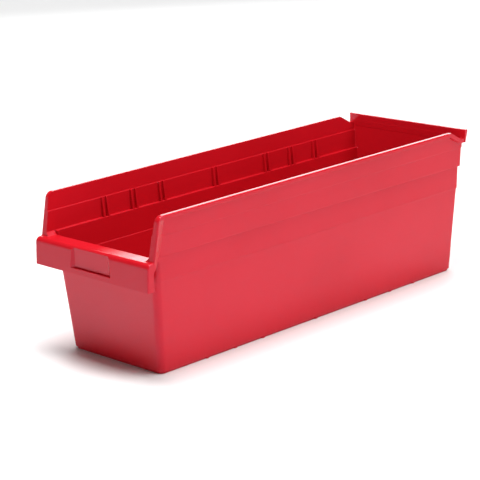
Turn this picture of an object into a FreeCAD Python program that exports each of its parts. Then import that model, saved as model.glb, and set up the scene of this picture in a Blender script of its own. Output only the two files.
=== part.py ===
import FreeCAD, Part
import math
import os
import Sketcher

# An open-top shelf bin, injection moulded in one piece, in millimetres.
# Frame: +Z up, the hopper front faces -Y, +X is to the right seen from the front.
# Origin: the middle of the footprint of the whole bin, on the surface that it stands on.

doc = FreeCAD.newDocument("shelf_bin")
sheet = doc.addObject("Spreadsheet::Sheet", "Sizes")
next_row = 1


class Size:
    """A length that carries both its value and the sheet expression that drives it."""

    def __init__(self, value, text):
        self.value = float(value)
        self.text = text

    def __add__(self, other):
        other = as_size(other)
        return Size(self.value + other.value, "(%s + %s)" % (self.text, other.text))

    def __sub__(self, other):
        other = as_size(other)
        return Size(self.value - other.value, "(%s - %s)" % (self.text, other.text))

    def __mul__(self, other):
        other = as_size(other)
        return Size(self.value * other.value, "(%s * %s)" % (self.text, other.text))

    def __truediv__(self, other):
        other = as_size(other)
        return Size(self.value / other.value, "(%s / %s)" % (self.text, other.text))

    def __neg__(self):
        return Size(-self.value, "(0 - %s)" % self.text)


def as_size(number):
    if isinstance(number, Size):
        return number
    return Size(number, "%g" % number)


def cell(alias, number, note):
    """One driving dimension: a note in column A and the number, with its alias, in column B."""
    global next_row
    sheet.set("A%d" % next_row, note)
    sheet.set("B%d" % next_row, "%g" % number)
    sheet.setAlias("B%d" % next_row, alias)
    next_row += 1
    return Size(number, "Sizes." + alias)


# ---- driving dimensions ----------------------------------------------------------------

height = cell("height", 205, "floor to the top of the rim and of the rear lip")
reach = cell("reach", 300, "middle to the foot of the apron, and middle to the back of the rear lip")
wall = cell("wall", 2.5, "wall thickness")
corner = cell("corner", 9, "outer radius of the upright corners at the bottom")
top_corner = cell("top_corner", 3.5, "outer radius of the rear upright corners at the top")
foot_height = cell("foot_height", 2, "height of the foot band under the walls")
foot_inset = cell("foot_inset", 2.5, "how far the foot band stands inside the walls")
bottom_round = cell("bottom_round", 2, "radius of the bottom edge outside")
floor_round = cell("floor_round", 5, "radius between floor and walls inside")
edge_round = cell("edge_round", 0.6, "radius of the edges of the steps and of the ledges over them")

base_half = cell("base_half", 84.6, "half width at the bottom")
low_half = cell("low_half", 93.8, "half width under the lowest step")
low_step = cell("low_step", 1.3, "how far the lowest step goes out")
mid_half = cell("mid_half", 95.7, "half width under the middle step")
mid_step = cell("mid_step", 4, "how far the middle step goes out")
slot_half = cell("slot_half", 100.6, "half width under the highest step")
slot_step = cell("slot_step", 1.2, "how far the highest step goes out")
top_half = cell("top_half", 103, "half width of the wall at the top")
low_line = cell("low_line", 120.4, "height of the lowest step outside")
mid_line = cell("mid_line", 153, "height of the middle step outside, and of the ledge under")
top_line = cell("top_line", 179, "height of the highest step outside")

front_base = cell("front_base", 268.1, "middle to the front wall at the bottom")
front_top = cell("front_top", 277.5, "middle to the front wall at the middle step")
rear_base = cell("rear_base", 288.6, "middle to the rear wall at the bottom")
rear_top = cell("rear_top", 298, "middle to the rear wall at the top")

side_half = cell("side_half", 106.7, "half width over the rim and over the apron")
rim_skirt = cell("rim_skirt", 2, "thickness of the turned-down edge of the rim")
rim_depth = cell("rim_depth", 5.5, "height of the turned-down edge of the rim")
notch_start = cell("notch_start", 266.3, "middle to the start of the notch behind the rim")
notch_end = cell("notch_end", 287.3, "middle to the bottom of the notch")
notch_depth = cell("notch_depth", 12.2, "depth of the notch")
notch_round = cell("notch_round", 3, "radius in the corners of the notch")
lip_half = cell("lip_half", 107.5, "half width over the rear lip")
lip_front = cell("lip_front", 0.6, "how far the lip's front stands inside the wall's inner face")
lip_foot_front = cell("lip_foot_front", 0.4, "how far the foot of the lip stands in front of that")
lip_foot_back = cell("lip_foot_back", 0.6, "how far the foot of the lip stands behind it")
lip_round = cell("lip_round", 1.2, "radius of the upper edges of the lip")
strip_lean = cell("strip_lean", 2, "how far the underside of the notch strip is shifted forward")
rim_round = cell("rim_round", 0.6, "radius of the lower edge of the rim")
lip_drop = cell("lip_drop", 3.5, "height of the upright back edge of the rear lip")

front_low = cell("front_low", 288, "middle to the foot of the front edges of the side walls")
front_high = cell("front_high", 276.3, "middle to the front edges of the side walls at the rim")
front_round = cell("front_round", 10, "radius of the front corner of the rim")
flare_depth = cell("flare_depth", 3, "depth of the outer edge at the front of the side walls")
flare_run = cell("flare_run", 13, "length over which the side walls widen to that edge")
flare_lead = cell("flare_lead", 6, "how far the flare cut runs past the flare at each end")
flare_side = cell("flare_side", 8, "how far the flare cut reaches out past the side")
flare_skin = cell("flare_skin", 0.05, "gap that keeps the flare cut off the outermost face")
flare_outer = cell("flare_outer", 7, "radius where the flare leaves the outer edge")
flare_inner = cell("flare_inner", 9, "radius where the flare meets the side wall")
bite_low = cell("bite_low", 1, "how deep the flare ends inside the slot band at its foot")
bite_high = cell("bite_high", 1.4, "how deep the flare ends inside the top band at the rim")
bend_round = cell("bend_round", 2.6, "radius where the front edges meet the ledge")
band_back = cell("band_back", 10.5, "front edges of the side walls to the front of the high bands")
cheek_back = cell("cheek_back", 258, "middle to the back of the front piece of the side walls")
cheek_lap = cell("cheek_lap", 2, "overlap of the ledge plate and of the rim with that piece")

ledge_front = cell("ledge_front", 150.6, "height of the front ledge")
ledge_half = cell("ledge_half", 92, "half width of the front ledge between its ramps")
ramp_round = cell("ramp_round", 2, "radius at the foot of each ramp")
ramp_lift = cell("ramp_lift", 0.2, "how far the ramp cut runs past the side ledges")
ramp_lap = cell("ramp_lap", 1, "how far the ramp cut runs into the space inside the bin")
apron_bottom = cell("apron_bottom", 116.1, "height of the bottom edge of the apron")
apron_lean = cell("apron_lean", 2.4, "how far the apron face leans back from its foot to the ledge")
apron_round = cell("apron_round", 7, "radius of the roll from the ledge to the apron")
return_depth = cell("return_depth", 10.5, "depth of the returns at the ends of the apron")
gusset_top = cell("gusset_top", 278, "middle to the top of the gusset behind each return")
gusset_foot = cell("gusset_foot", 138, "height of the foot of that gusset")
gusset_round = cell("gusset_round", 14, "radius at the foot of that gusset")
end_round = cell("end_round", 2, "radius of the outer edge of the rim, front edges and apron ends")

label_half = cell("label_half", 39, "half width of the label recess at the apron face")
panel_half = cell("panel_half", 32, "half width of the label panel")
label_depth = cell("label_depth", 4, "depth of the label recess")
label_sill = cell("label_sill", 123, "height of the sill under the label panel")
label_slot = cell("label_slot", 1.2, "width of the slot that holds the foot of a label")
label_round = cell("label_round", 1, "radius beside the label panel")
label_past = cell("label_past", 1, "how far the label recess is cut past the apron face")
backing_drop = cell("backing_drop", 4.5, "sill to the lower edge of the label backing")
backing_foot = cell("backing_foot", 1.2, "how far the foot of the backing stands in front of the panel")
backing_head = cell("backing_head", 0.6, "how far the head of the backing stands in front of the panel")
backing_top = cell("backing_top", 3, "ledge to the front upper edge of the backing")
backing_depth = cell("backing_depth", 5, "panel to the back of the backing under the ledge")
backing_skin = cell("backing_skin", 0.6, "ledge to the top of the backing")
backing_lap = cell("backing_lap", 2, "underside of the ledge to the lower edge of the backing's head")
slot_drop = cell("slot_drop", 2, "depth of that slot")

rib_middle = cell("rib_middle", 8, "middle of the row of divider slots")
rib_pitch = cell("rib_pitch", 49.4, "distance from one divider slot to the next place for one")
rib_gap = cell("rib_gap", 7.6, "distance between the two ribs of one divider slot")
rib_width = cell("rib_width", 2.5, "width of a rib")
rib_top = cell("rib_top", 2.2, "how far a rib stands out at its top")
nub_width = cell("nub_width", 4, "width of a locating nub on the foot band")
nub_rise = cell("nub_rise", 2, "how far a nub stands above the foot band")
sunk = cell("sunk", 0.5, "how far ribs, foot and nubs are sunk into the walls they stand on")

doc.recompute()

ledge = mid_line + wall
floor = foot_height + wall
beyond = as_size(30)
slot_places = (-4, -3, -2, 0, 2, 3, 4)
edge_steps = 4
step_steps = 2

body = doc.addObject("PartDesign::Body", "Bin")
body.Label = "shelf_bin"


# ---- sketch helpers --------------------------------------------------------------------

def base_plane(role):
    """One of the body's own origin planes."""
    for feature in body.Origin.OriginFeatures:
        if feature.Role == role:
            return feature


def new_sketch(name, role, offset=None):
    """An empty sketch on an origin plane, moved off it by offset along its normal."""
    sketch = body.newObject("Sketcher::SketchObject", name)
    sketch.AttachmentSupport = [(base_plane(role), "")]
    sketch.MapMode = "FlatFace"
    if offset is not None:
        sketch.setExpression("AttachmentOffset.Base.z", offset.text)
    return sketch


def drive(sketch, kind, target, size):
    """Add one dimension to a sketch and bind it to the sheet."""
    index = sketch.addConstraint(Sketcher.Constraint(kind, *target, size.value))
    sketch.setExpression("Constraints[%d]" % index, size.text)


def unit(a, b):
    length = math.hypot(b[0] - a[0], b[1] - a[1])
    return ((b[0] - a[0]) / length, (b[1] - a[1]) / length)


def draw(sketch, corners):
    """A closed outline. Each corner is (x, y) or, with a rounding radius, (x, y, radius)."""
    corners = [tuple(as_size(number) for number in point) for point in corners]
    places = [(point[0].value, point[1].value) for point in corners]
    count = len(corners)
    starts = []
    ends = []
    for i in range(count):
        before = unit(places[i], places[i - 1])
        after = unit(places[i], places[(i + 1) % count])
        cut = 0.0
        if len(corners[i]) == 3:
            turn = math.acos(before[0] * after[0] + before[1] * after[1])
            cut = corners[i][2].value / math.tan(turn / 2)
        ends.append((places[i][0] + before[0] * cut, places[i][1] + before[1] * cut))
        starts.append((places[i][0] + after[0] * cut, places[i][1] + after[1] * cut))
    lines = []
    for i in range(count):
        a = FreeCAD.Vector(*starts[i], 0)
        b = FreeCAD.Vector(*ends[(i + 1) % count], 0)
        lines.append(sketch.addGeometry(Part.LineSegment(a, b)))
    for i in range(count):
        line_in = lines[i - 1]
        line_out = lines[i]
        if len(corners[i]) == 2:
            sketch.addConstraint(Sketcher.Constraint("Coincident", line_in, 2, line_out, 1))
            drive(sketch, "DistanceX", (line_out, 1), corners[i][0])
            drive(sketch, "DistanceY", (line_out, 1), corners[i][1])
            continue
        round_corner(sketch, line_in, line_out, corners[i], places[i], ends[i], starts[i])


def round_corner(sketch, line_in, line_out, corner_sizes, place, enter, leave):
    """Join two lines with an arc, and pin the sharp corner where they would have met."""
    radius = corner_sizes[2].value
    middle = ((enter[0] + leave[0]) / 2, (enter[1] + leave[1]) / 2)
    towards = unit(middle, place)
    reach_in = math.hypot(place[0] - enter[0], place[1] - enter[1])
    centre_distance = math.hypot(reach_in, radius)
    away = unit(place, middle)
    centre = (place[0] + away[0] * centre_distance, place[1] + away[1] * centre_distance)
    top = (centre[0] + towards[0] * radius, centre[1] + towards[1] * radius)
    points = [FreeCAD.Vector(*point, 0) for point in (enter, top, leave)]
    arc = sketch.addGeometry(Part.Arc(*points))
    turn_left = ((place[0] - enter[0]) * (leave[1] - place[1])
                 - (place[1] - enter[1]) * (leave[0] - place[0])) > 0
    first, last = (1, 2) if turn_left else (2, 1)
    sketch.addConstraint(Sketcher.Constraint("Tangent", line_in, 2, arc, first))
    sketch.addConstraint(Sketcher.Constraint("Tangent", arc, last, line_out, 1))
    pin = sketch.addGeometry(Part.Point(FreeCAD.Vector(*place, 0)), True)
    sketch.addConstraint(Sketcher.Constraint("PointOnObject", pin, 1, line_in))
    sketch.addConstraint(Sketcher.Constraint("PointOnObject", pin, 1, line_out))
    drive(sketch, "DistanceX", (pin, 1), corner_sizes[0])
    drive(sketch, "DistanceY", (pin, 1), corner_sizes[1])
    drive(sketch, "Radius", (arc,), corner_sizes[2])


# ---- feature helpers -------------------------------------------------------------------

def finish_feature(feature):
    """Recompute and make sure that the feature really built something."""
    doc.recompute()
    for state in feature.State:
        if state in ("Invalid", "Error"):
            raise RuntimeError("%s failed" % feature.Name)
    body.Tip = feature
    return feature


def pad(name, sketch, length, midplane=False):
    feature = body.newObject("PartDesign::Pad", name)
    feature.Profile = sketch
    feature.SideType = "Symmetric" if midplane else "One side"
    feature.setExpression("Length", length.text)
    return finish_feature(feature)


def pocket(name, sketch, length, midplane=False, flip=False):
    """Cut a sketch into the body, and check that the body lost material."""
    volume_before = body.Shape.Volume
    feature = body.newObject("PartDesign::Pocket", name)
    feature.Profile = sketch
    feature.SideType = "Symmetric" if midplane else "One side"
    feature.Reversed = flip
    feature.setExpression("Length", length.text)
    finish_feature(feature)
    if feature.Shape.Volume > volume_before - 1.0:
        raise RuntimeError("%s cuts nothing" % name)
    return feature


def loft(kind, name, sections):
    feature = body.newObject("PartDesign::" + kind, name)
    feature.Profile = sections[0]
    feature.Sections = sections[1:]
    feature.Ruled = True
    return finish_feature(feature)


def between(low_value, high_value, level, low_level, high_level):
    """The size on a straight taper from one level to another, at a level between them."""
    share = (level - low_level) / (high_level - low_level)
    return low_value + (high_value - low_value) * share


def front_at(level):
    """Distance from the middle to the outside of the front wall at a level."""
    return between(front_base, front_top, level, foot_height, mid_line)


def rear_at(level):
    """Distance from the middle to the outside of the rear wall at a level."""
    return between(rear_base, rear_top, level, foot_height, height)


def half_at(level):
    """Half the outside width of the low band at a level."""
    return between(base_half, low_half, level, foot_height, low_line)


def edge_at(level):
    """Distance from the middle to the front edges of the side walls at a level."""
    return between(front_low, front_high, level, ledge_front, height)


def rear_corner_at(level):
    """Outer radius of the rear upright corners, which are sharper towards the top."""
    return between(corner, top_corner, level, foot_height, height)


def plan(name, level, half, front, rear, front_radius, rear_radius):
    """A rectangle in a level plane with rounded corners; the front ones may be sharp."""
    sketch = new_sketch(name, "XY_Plane", as_size(level))
    front_corners = [(-half, -front, front_radius), (half, -front, front_radius)]
    if front_radius is None:
        front_corners = [(-half, -front), (half, -front)]
    draw(sketch, front_corners + [(half, rear, rear_radius), (-half, rear, rear_radius)])
    return sketch


def polygon(name, role, corners, offset=None):
    sketch = new_sketch(name, role, offset)
    draw(sketch, corners)
    return sketch


def turns(steps):
    """The angles of a quarter round in equal steps, in radians."""
    return [math.radians(90.0 * step / steps) for step in range(steps + 1)]


# ---- front piece: front edges of the side walls, ledge and apron in one outline ----------

face_top = reach - apron_lean
lean_slope = apron_lean / (ledge_front - apron_bottom)
cheek_plan = polygon("cheek_plan", "YZ_Plane", [
    (-reach + return_depth, apron_bottom), (-reach, apron_bottom),
    (-face_top, ledge_front, apron_round), (-front_low, ledge_front, bend_round),
    (-front_high, height, front_round), (-cheek_back, height), (-cheek_back, mid_line),
    (-gusset_top, mid_line), (-reach + return_depth, gusset_foot, gusset_round)])
cheeks = pad("cheeks", cheek_plan, side_half * 2, midplane=True)

tolerance = 0.01
bottom_edge_gap = 1
outline_edges = []
for number, edge in enumerate(cheeks.Shape.Edges, 1):
    middle = edge.CenterOfMass
    at_end = abs(abs(middle.x) - side_half.value) < tolerance
    if at_end and middle.y < -face_top.value and middle.z > apron_bottom.value + bottom_edge_gap:
        outline_edges.append("Edge%d" % number)
outline_round = body.newObject("PartDesign::Fillet", "outline_round")
outline_round.Base = (cheeks, outline_edges)
outline_round.setExpression("Radius", end_round.text)
finish_feature(outline_round)


def hollow(name, back, half):
    """The space under the apron, open at the bottom, with the roll and the lean inside too."""
    inner_foot = reach - wall + lean_slope * beyond
    outline = polygon(name + "_plan", "YZ_Plane", [
        (-inner_foot, apron_bottom - beyond), (-face_top + wall, ledge_front - wall, apron_round - wall),
        (-back, ledge_front - wall), (-back, apron_bottom - beyond)])
    pocket(name, outline, half * 2, midplane=True)


hollow("apron_hollow", front_low - flare_depth, side_half - wall)
hollow("ledge_hollow", cheek_back - beyond, mid_half + mid_step)

# ---- outside of the front piece: it narrows from the outer edge to the side walls --------

def flare_corners(side, front, wall_half):
    """Plan of what is cut away outside one side wall, from the outer edge backwards."""
    skin = side_half + flare_skin
    edge_back = front - flare_depth
    outside = skin + flare_side
    return [(outside * side, -edge_back - flare_lead), (skin * side, -edge_back - flare_lead),
            (skin * side, -edge_back, flare_outer),
            (wall_half * side, -edge_back + flare_run, flare_inner),
            (wall_half * side, -cheek_back + flare_lead), (outside * side, -cheek_back + flare_lead)]


rim_under = height - rim_depth
front_under_rim = edge_at(rim_under)
for side, side_name in ((1, "right"), (-1, "left")):
    low_half_width = mid_half + mid_step - bite_low
    flare_low = polygon("flare_%s_low" % side_name, "XY_Plane",
                        flare_corners(side, front_low, low_half_width), mid_line)
    flare_high = polygon("flare_%s_high" % side_name, "XY_Plane",
                         flare_corners(side, front_under_rim, top_half - bite_high), rim_under)
    flare_foot = polygon("flare_%s_foot" % side_name, "XY_Plane",
                         flare_corners(side, front_low, low_half_width), mid_line)
    loft("SubtractiveLoft", "flare_%s" % side_name, [flare_low, flare_high])
    pocket("gusset_%s" % side_name, flare_foot, mid_line - apron_bottom)

ledge_plate = polygon("ledge_plate_plan", "YZ_Plane", [
    (-front_low, ledge_front - wall), (-front_low, mid_line), (-cheek_back - cheek_lap, mid_line),
    (-cheek_back - cheek_lap, ledge_front - wall)])
pad("ledge_plate", ledge_plate, (mid_half + mid_step) * 2, midplane=True)

# ---- outside of the walls: four tapered bands, each wider than the one under it ---------

def turned_bottom(kind, name, level, edge_radius, skin):
    """The bottom of the low band, skin thick inside its outside, with its edge turned round."""
    sections = []
    for step, turn in enumerate(turns(edge_steps)):
        inset = edge_radius * (1 - math.sin(turn)) + skin
        rise = level + edge_radius * (1 - math.cos(turn))
        sections.append(plan("%s_plan_%d" % (name, step), rise, half_at(rise) - inset,
                             front_at(rise) - inset, rear_at(rise) - inset, corner - inset,
                             rear_corner_at(rise) - inset))
    return loft(kind, name, sections)


def outer_band(name, low_level, high_level, low_width, high_width, step=False, behind_cheek=False):
    """The outside of one band; the lower edge of a band over a step is turned round."""
    rows = []
    if step:
        for turn in turns(step_steps)[:-1]:
            rise = low_level + edge_round * (1 - math.cos(turn))
            rows.append((rise, low_width - edge_round * (1 - math.sin(turn))))
        low_level = low_level + edge_round
    rows += [(low_level, low_width), (high_level, high_width)]
    sections = []
    for number, (level, half) in enumerate(rows):
        front = edge_at(level) - band_back if behind_cheek else front_at(level)
        sections.append(plan("%s_plan_%d" % (name, number), level, half, front, rear_at(level),
                             None if behind_cheek else corner, rear_corner_at(level)))
    loft("AdditiveLoft", name, sections)


turned_bottom("AdditiveLoft", "bottom_edge", foot_height, bottom_round, as_size(0))
low_start = foot_height + bottom_round
outer_band("low_band", low_start, low_line, half_at(low_start), low_half)
outer_band("mid_band", low_line, mid_line, low_half + low_step, mid_half, step=True)
outer_band("slot_band", mid_line, top_line, mid_half + mid_step, slot_half, True, True)
outer_band("top_band", top_line, height, slot_half + slot_step, top_half, True, True)

# ---- rim of the side walls, and the strip that follows the notch -------------------------

rail_inner = top_half - wall
skirt_inner = side_half - rim_skirt
rail_plan = new_sketch("rim_rail_plan", "XZ_Plane", -notch_start)
for side in (1, -1):
    draw(rail_plan, [(rail_inner * side, height), (side_half * side, height, end_round),
                     (side_half * side, rim_under, rim_round), (skirt_inner * side, rim_under),
                     (skirt_inner * side, height - wall), (rail_inner * side, height - wall)])
pad("rim_rail", rail_plan, notch_start + cheek_back + cheek_lap)

notch_floor = height - notch_depth
notch_back = rear_top - wall - lip_front
notch_strip = polygon("notch_strip_plan", "YZ_Plane", [
    (notch_start - rim_depth, height), (notch_start, height),
    (notch_end, notch_floor, notch_round), (notch_back, notch_floor),
    (notch_back, notch_floor - rim_depth), (notch_end - strip_lean, notch_floor - rim_depth, notch_round),
    (notch_start - strip_lean, rim_under, notch_round), (notch_start - rim_depth, rim_under)])
pad("notch_strip", notch_strip, side_half * 2, midplane=True)

# ---- inside of the walls, with a ledge over every step ----------------------------------

def cavity(name, low_level, high_level, low_width, high_width, edge=True, open_front=False):
    """The inside of one band; its upper edge is turned out where a ledge lies over it."""
    rows = [(low_level, low_width - wall)]
    if edge:
        for turn in turns(step_steps):
            rows.append((high_level - edge_round * (1 - math.sin(turn)),
                         high_width - wall + edge_round * (1 - math.cos(turn))))
    else:
        rows.append((high_level, high_width - wall))
    sections = []
    for number, (level, half) in enumerate(rows):
        front = front_low + beyond if open_front else front_at(level) - wall
        sections.append(plan("%s_plan_%d" % (name, number), level, half, front, rear_at(level) - wall,
                             None if open_front else corner - wall, rear_corner_at(level) - wall))
    loft("SubtractiveLoft", name, sections)


turned_bottom("SubtractiveLoft", "floor_edge", floor, floor_round, wall)
cavity_start = floor + floor_round
cavity("low_cavity", cavity_start, low_line + wall, half_at(cavity_start), low_half)
cavity("mid_cavity", low_line + wall, ledge, low_half + low_step, mid_half)
cavity("slot_cavity", ledge, top_line + wall, mid_half + mid_step, slot_half, open_front=True)
cavity("top_cavity", top_line + wall, height, slot_half + slot_step, top_half, open_front=True)

# ---- front ledge: lower than the side ledges, with a ramp up to each of them -------------

ramp_top = mid_half + mid_step - wall
ledge_cut = polygon("ledge_cut_plan", "XZ_Plane", [
    (-ledge_half, ledge_front, ramp_round), (ledge_half, ledge_front, ramp_round),
    (ramp_top, ledge + ramp_lift), (-ramp_top, ledge + ramp_lift)], front_top - wall - ramp_lap)
pocket("ledge_cut", ledge_cut, beyond, flip=True)

# ---- the notch at the rear, and the rear lip ---------------------------------------------

notch_cut = polygon("notch_cut_plan", "YZ_Plane", [
    (notch_start, height), (notch_end, notch_floor, notch_round),
    (notch_back, notch_floor, notch_round), (notch_back, height + beyond),
    (notch_start, height + beyond)])
pocket("notch_cut", notch_cut, (side_half + beyond) * 2, midplane=True)

lip_plan = polygon("lip_plan", "YZ_Plane", [
    (notch_back - lip_foot_front, notch_floor - rim_depth),
    (notch_back + lip_foot_back, notch_floor - rim_depth),
    (reach, height - lip_drop), (reach, height, lip_round),
    (notch_back, height, lip_round), (notch_back, notch_floor + notch_round),
    (notch_back - lip_foot_front, notch_floor + notch_round)])
pad("rear_lip", lip_plan, lip_half * 2, midplane=True)

# ---- label recess in the middle of the apron ---------------------------------------------

panel_front = reach - label_depth
backing_bottom = label_sill - backing_drop
head_bottom = ledge_front - wall - backing_lap
backing = polygon("label_backing_plan", "YZ_Plane", [
    (-panel_front - backing_foot, backing_bottom), (-panel_front - backing_head, ledge_front - backing_top),
    (-panel_front + backing_depth, ledge_front - backing_skin), (-panel_front + backing_depth, head_bottom),
    (-panel_front + wall, head_bottom), (-panel_front + wall, backing_bottom)])
pad("label_backing", backing, (label_half + wall) * 2, midplane=True)

label_slant = (label_half - panel_half) * label_past / label_depth
recess = polygon("label_recess_plan", "XY_Plane", [
    (-label_half - label_slant, -reach - label_past), (label_half + label_slant, -reach - label_past),
    (panel_half, -panel_front, label_round), (-panel_half, -panel_front, label_round)], label_sill)
pocket("label_recess", recess, ledge_front - label_sill + wall, flip=True)

slot = polygon("label_slot_plan", "XY_Plane", [
    (-panel_half, -panel_front - label_slot), (panel_half, -panel_front - label_slot),
    (panel_half, -panel_front), (-panel_half, -panel_front)], label_sill)
pocket("label_slot", slot, slot_drop)

# ---- divider slots: seven pairs of ribs on each side wall --------------------------------

rib_foot = mid_half - wall
rib_head = slot_half - wall - rib_top
rib_root = mid_half + mid_step - wall / 2
for place in slot_places:
    for edge_side in (-1, 1):
        rib_back = rib_middle + rib_pitch * place + rib_gap * edge_side / 2 + rib_width / 2
        rib_name = "rib_%s_%s" % (str(place).replace("-", "n"), "n" if edge_side < 0 else "p")
        rib_plan = new_sketch(rib_name + "_plan", "XZ_Plane", -rib_back)
        for side in (1, -1):
            draw(rib_plan, [(rib_foot * side, ledge - sunk), (rib_root * side, ledge - sunk),
                            (rib_root * side, top_line + wall), (rib_head * side, top_line + wall)])
        pad(rib_name, rib_plan, rib_width)

# ---- foot: a low ring under the walls, with locating nubs beside the divider slots ------

foot_half = base_half - foot_inset
foot_plan = plan("foot_plan", as_size(0), foot_half, front_base - foot_inset,
                 rear_base - foot_inset, corner - foot_inset, corner - foot_inset)
pad("foot", foot_plan, foot_height + sunk)
under_plan = plan("underside_plan", as_size(0), foot_half - wall, front_base - foot_inset - wall,
                  rear_base - foot_inset - wall, corner - foot_inset - wall,
                  corner - foot_inset - wall)
pocket("underside", under_plan, foot_height, flip=True)

nub_plan = new_sketch("nub_plan", "XY_Plane")
for place in slot_places:
    nub_middle = rib_middle + rib_pitch * place
    for side in (1, -1):
        draw(nub_plan, [((foot_half - wall / 2) * side, nub_middle - nub_width / 2),
                        ((base_half - sunk) * side, nub_middle - nub_width / 2),
                        ((base_half - sunk) * side, nub_middle + nub_width / 2),
                        ((foot_half - wall / 2) * side, nub_middle + nub_width / 2)])
pad("foot_nubs", nub_plan, foot_height + nub_rise)

# ---- checks and export -------------------------------------------------------------------

for item in doc.Objects:
    for state in item.State:
        if state in ("Invalid", "Error"):
            raise RuntimeError("%s is in state %s" % (item.Name, state))

shape = body.Shape
if shape.isNull() or not shape.isValid() or len(shape.Solids) != 1:
    raise RuntimeError("the bin is not one valid solid")

os.makedirs("parts", exist_ok=True)
shape.exportStep("parts/%s.step" % body.Label)
print("volume_cm3", round(shape.Volume / 1000.0, 1), "box", shape.BoundBox)
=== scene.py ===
import math
import bpy
from mathutils import Matrix, Vector


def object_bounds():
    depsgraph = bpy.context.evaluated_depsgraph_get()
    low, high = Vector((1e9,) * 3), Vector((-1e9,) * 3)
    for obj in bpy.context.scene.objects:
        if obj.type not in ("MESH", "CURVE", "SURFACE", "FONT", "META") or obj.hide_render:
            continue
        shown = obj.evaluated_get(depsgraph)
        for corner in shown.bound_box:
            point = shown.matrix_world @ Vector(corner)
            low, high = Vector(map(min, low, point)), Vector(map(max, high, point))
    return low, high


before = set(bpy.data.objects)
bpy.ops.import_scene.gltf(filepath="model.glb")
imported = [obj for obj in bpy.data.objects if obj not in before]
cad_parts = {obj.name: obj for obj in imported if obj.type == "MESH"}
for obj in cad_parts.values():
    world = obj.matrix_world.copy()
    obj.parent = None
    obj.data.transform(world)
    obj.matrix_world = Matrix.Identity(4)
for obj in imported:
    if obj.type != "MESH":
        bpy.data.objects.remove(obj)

cad_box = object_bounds()
low, high = cad_box
middle = (low + high) / 2


# ---- materials ---------------------------------------------------------------------------

def new_material(name):
    material = bpy.data.materials.new(name)
    material.use_nodes = True
    return material, material.node_tree.nodes, material.node_tree.links


def node(nodes, kind, **inputs):
    """A shader node with its named inputs set."""
    made = nodes.new(kind)
    for key, value in inputs.items():
        made.inputs[key.replace("_", " ")].default_value = value
    return made


def noise(nodes, links, coordinates, scale, detail=2.0):
    made = node(nodes, "ShaderNodeTexNoise", Scale=scale, Detail=detail)
    links.new(coordinates, made.inputs["Vector"])
    return made.outputs["Fac"]


def ramp(nodes, links, factor, stops):
    made = nodes.new("ShaderNodeValToRGB")
    elements = made.color_ramp.elements
    for element, (place, colour) in zip(elements, stops):
        element.position = place
        element.color = colour
    links.new(factor, made.inputs["Fac"])
    return made.outputs["Color"]


def grey(level):
    return (level, level, level, 1.0)


FLOW_SCALE = 6.0          # broad colour variation, patches about 15 cm across
RUB_SCALE = 60.0          # rubbed spots, drawn out along the bin
RUB_STRETCH = 0.12
GRAIN_SCALE = 900.0       # fine moulded grain, about a millimetre
GRAIN_DEPTH = 0.0001
EDGE_RADIUS = 0.0003
DEEP_RED = (0.53, 0.006, 0.013, 1.0)
LIGHT_RED = (0.58, 0.008, 0.017, 1.0)


def red_plastic():
    """Moulded plastic: deep red, satin gloss, faint flow marks and rubbed spots."""
    material, nodes, links = new_material("red_plastic")
    shader = nodes["Principled BSDF"]
    place = nodes.new("ShaderNodeTexCoord").outputs["Object"]
    flow = noise(nodes, links, place, FLOW_SCALE)
    colour = ramp(nodes, links, flow, [(0.3, DEEP_RED), (0.7, LIGHT_RED)])
    links.new(colour, shader.inputs["Base Color"])
    along = nodes.new("ShaderNodeMapping")
    along.inputs["Scale"].default_value = (1.0, RUB_STRETCH, 1.0)
    links.new(place, along.inputs["Vector"])
    rubbed = noise(nodes, links, along.outputs["Vector"], RUB_SCALE, 8.0)
    roughness = ramp(nodes, links, rubbed, [(0.35, grey(0.14)), (0.75, grey(0.24))])
    links.new(roughness, shader.inputs["Roughness"])
    grain = noise(nodes, links, place, GRAIN_SCALE, 1.0)
    edges = node(nodes, "ShaderNodeBevel", Radius=EDGE_RADIUS)
    bump = node(nodes, "ShaderNodeBump", Strength=0.03, Distance=GRAIN_DEPTH)
    links.new(grain, bump.inputs["Height"])
    links.new(edges.outputs["Normal"], bump.inputs["Normal"])
    links.new(bump.outputs["Normal"], shader.inputs["Normal"])
    shader.inputs["IOR"].default_value = 1.41
    shader.inputs["Specular Tint"].default_value = (1.0, 0.72, 1.0, 1.0)
    return material


bin_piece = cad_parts["shelf_bin"]
bin_piece.data.materials.clear()
bin_piece.data.materials.append(red_plastic())


# ---- floor, light and camera ---------------------------------------------------------------

def pale_floor():
    material = new_material("pale_floor")[0]
    shader = material.node_tree.nodes["Principled BSDF"]
    shader.inputs["Base Color"].default_value = grey(0.93)
    shader.inputs["Roughness"].default_value = 0.7
    shader.inputs["Specular IOR Level"].default_value = 0.1
    return material


bpy.ops.mesh.primitive_plane_add(size=24.0, location=(0.0, 0.0, low.z))
floor = bpy.context.object
floor.name = "studio_floor"
floor.data.materials.append(pale_floor())


def soft_light(name, place, size, power):
    """A rectangular soft box that faces the middle of the object."""
    data = bpy.data.lights.new(name, "AREA")
    data.shape = "RECTANGLE"
    data.size, data.size_y = size
    data.energy = power
    lamp = bpy.data.objects.new(name, data)
    lamp.location = place
    lamp.rotation_euler = (middle - Vector(place)).to_track_quat("-Z", "Y").to_euler()
    bpy.context.scene.collection.objects.link(lamp)


soft_light("side_fill", (2.3, 0.6, 1.2), (2.0, 1.6), 14.0)
soft_light("overhead", (0.0, -0.25, 1.4), (0.5, 0.5), 15.0)
soft_light("rear_card", (-1.95, 1.85, 0.98), (1.6, 0.8), 15.0)


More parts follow.
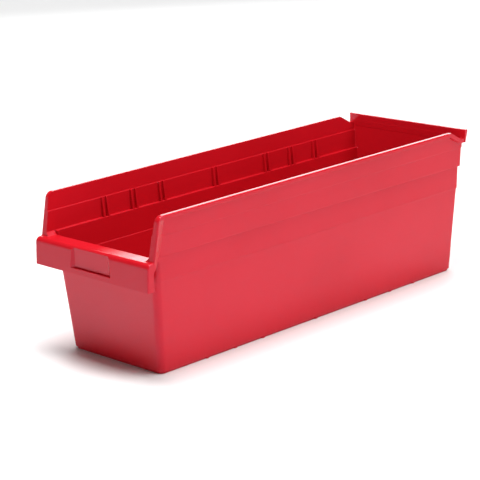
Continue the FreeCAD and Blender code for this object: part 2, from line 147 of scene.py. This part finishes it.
def distant_light(name, direction, strength, spread):
    """A broad light from far off, as from a large diffuser overhead."""
    data = bpy.data.lights.new(name, "SUN")
    data.energy = strength
    data.angle = math.radians(spread)
    lamp = bpy.data.objects.new(name, data)
    lamp.rotation_euler = Vector(direction).to_track_quat("Z", "Y").to_euler()
    bpy.context.scene.collection.objects.link(lamp)


distant_light("right_diffuser", (0.8, 0.55, 1.7), 1.6, 36.0)
distant_light("left_diffuser", (-0.5, 0.7, 1.6), 1.3, 50.0)

# The surround is white near the horizon and dark overhead.
world = bpy.data.worlds.new("studio")
world.use_nodes = True
sky_nodes, sky_links = world.node_tree.nodes, world.node_tree.links
direction = sky_nodes.new("ShaderNodeTexCoord").outputs["Generated"]
heights = sky_nodes.new("ShaderNodeSeparateXYZ")
sky_links.new(direction, heights.inputs["Vector"])
surround = ramp(sky_nodes, sky_links, heights.outputs["Z"], [(0.15, grey(1.0)), (0.24, grey(0.08))])
sky_links.new(surround, sky_nodes["Background"].inputs["Color"])
sky_nodes["Background"].inputs["Strength"].default_value = 1.0
bpy.context.scene.world = world


def place_camera(azimuth, elevation, roll, distance, target, lens):
    """A camera that looks at target from an azimuth and elevation, rolled about its own axis."""
    a, e = math.radians(azimuth), math.radians(elevation)
    back = Vector((math.sin(a) * math.cos(e), -math.cos(a) * math.cos(e), math.sin(e)))
    right = (-back).cross(Vector((0.0, 0.0, 1.0))).normalized()
    up = back.cross(right)
    turn = Matrix.Rotation(math.radians(roll), 3, back)
    right, up = turn @ right, turn @ up
    data = bpy.data.cameras.new("camera")
    data.lens = lens
    data.sensor_width = 36.0
    camera = bpy.data.objects.new("camera", data)
    bpy.context.scene.collection.objects.link(camera)
    spot = Vector(target) + back * distance
    axes = Matrix((right, up, back)).transposed().to_4x4()
    camera.matrix_world = Matrix.Translation(spot) @ axes
    bpy.context.scene.camera = camera


place_camera(azimuth=46.3, elevation=15.6, roll=-2.8, distance=2.4128,
             target=(-0.0460, 0.0, 0.0881), lens=133.55)
bpy.context.scene.view_settings.view_transform = "Standard"
